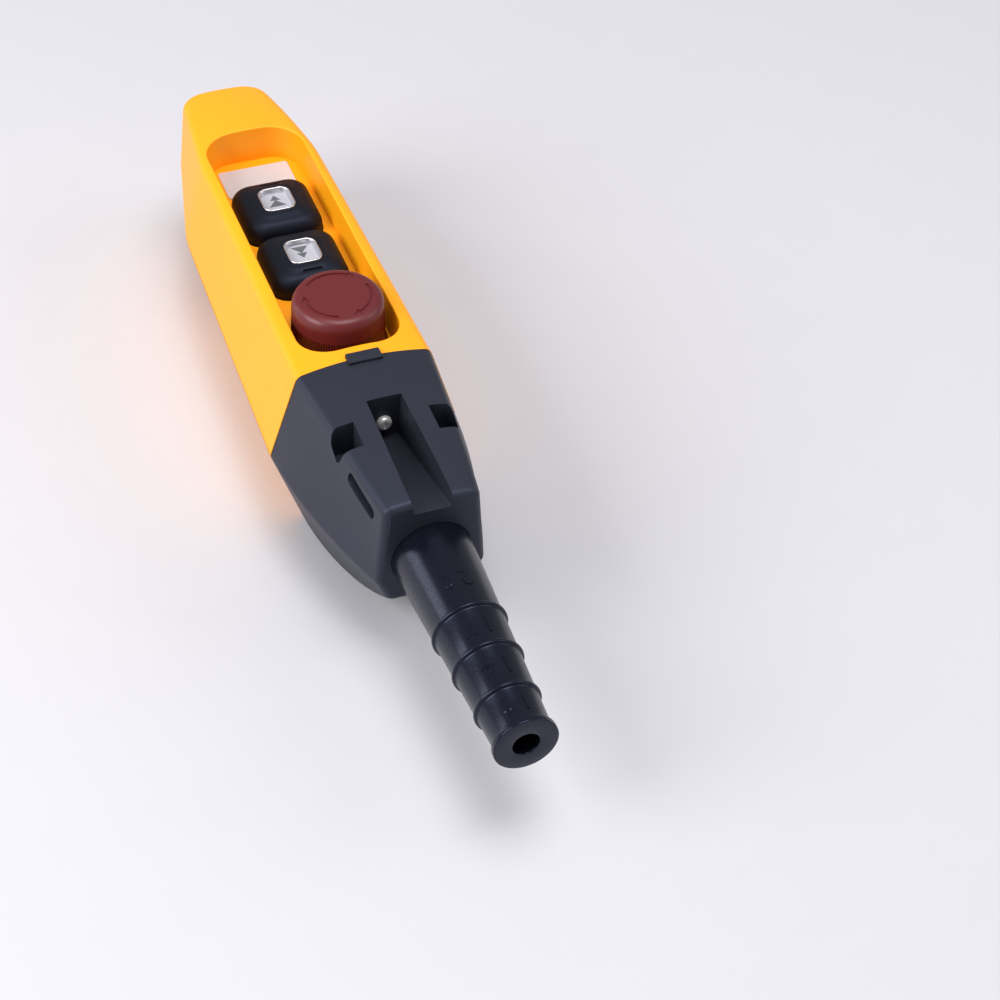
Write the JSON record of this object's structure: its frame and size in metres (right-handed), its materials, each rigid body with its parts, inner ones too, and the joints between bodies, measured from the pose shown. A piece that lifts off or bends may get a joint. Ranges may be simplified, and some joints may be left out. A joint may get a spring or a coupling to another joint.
{
  "type": "crane pendant control",
  "caption": "Handheld pendant control with a yellow two-part housing, booted direction buttons, a mushroom stop button, and a stepped rubber cable sleeve on a black cap.",
  "frame": {"origin": "middle of the part's box, on the plane that its flat back lies on", "axes": "+Z out of the front with the buttons, +Y to the nose and away from the cable sleeve, +X to the right seen from the front with the nose up"},
  "size_m": [0.063, 0.31, 0.0683],
  "materials": {
    "yellow_plastic": "satin moulded",
    "gasket_rubber": "matt",
    "zinc_steel": "zinc plated",
    "black_plastic": "finely textured",
    "black_rubber": "satin moulded",
    "label_film": "satin film",
    "grey_plastic": "moulded",
    "boot_rubber": "matt",
    "bright_frame": "polished",
    "plate_plastic": "satin",
    "red_plastic": "satin moulded",
    "brass": "turned",
    "spring_steel": "drawn wire"
  },
  "bodies": {
    "housing": {"front_shell": "yellow_plastic", "rear_shell": "yellow_plastic", "shell_gasket": "gasket_rubber", "shell_screws": "zinc_steel", "cable_cap": "black_plastic", "cap_screw": "zinc_steel", "cable_sleeve": "black_rubber", "rating_label": "label_film", "chassis": "zinc_steel", "chassis_screws": "zinc_steel", "cable_clamp": "grey_plastic", "clamp_bar": "grey_plastic", "clamp_screws": "zinc_steel", "stop_bush": "grey_plastic", "stop_nut": "brass", "stop_spring": "spring_steel", "stop_contact_block": "grey_plastic", "terminal_screws": "brass", "down_spring": "spring_steel", "up_spring": "spring_steel", "down_contact_block": "grey_plastic", "up_contact_block": "grey_plastic"},
    "down_button": {"down_boot": "boot_rubber", "down_bezel": "bright_frame", "down_legend": "plate_plastic", "down_plunger": "grey_plastic"},
    "up_button": {"up_boot": "boot_rubber", "up_bezel": "bright_frame", "up_legend": "plate_plastic", "up_plunger": "grey_plastic"},
    "stop_stem_body": {"stop_stem": "grey_plastic"},
    "stop_mushroom": {"stop_head": "red_plastic"}
  },
  "joints": [
    {"name": "down_press", "type": "slide", "parent": "housing", "child": "down_button", "axis": [0, 0, -1], "range_m": [0, 0.004], "stiffness_N_per_m": 1500, "deforming": ["down_spring"]},
    {"name": "up_press", "type": "slide", "parent": "housing", "child": "up_button", "axis": [0, 0, -1], "range_m": [0, 0.004], "stiffness_N_per_m": 1500, "deforming": ["up_spring"]},
    {"name": "stop_push", "type": "slide", "parent": "housing", "child": "stop_stem_body", "axis": [0, 0, -1], "range_m": [0, 0.0045], "deforming": ["stop_spring"]},
    {"name": "stop_turn", "type": "hinge", "parent": "stop_stem_body", "child": "stop_mushroom", "pos_m": [0, 0.016, 0.06], "axis": [0, 0, -1], "range_deg": [0, 40], "stiffness_Nm_per_rad": 0.2}
  ]
}
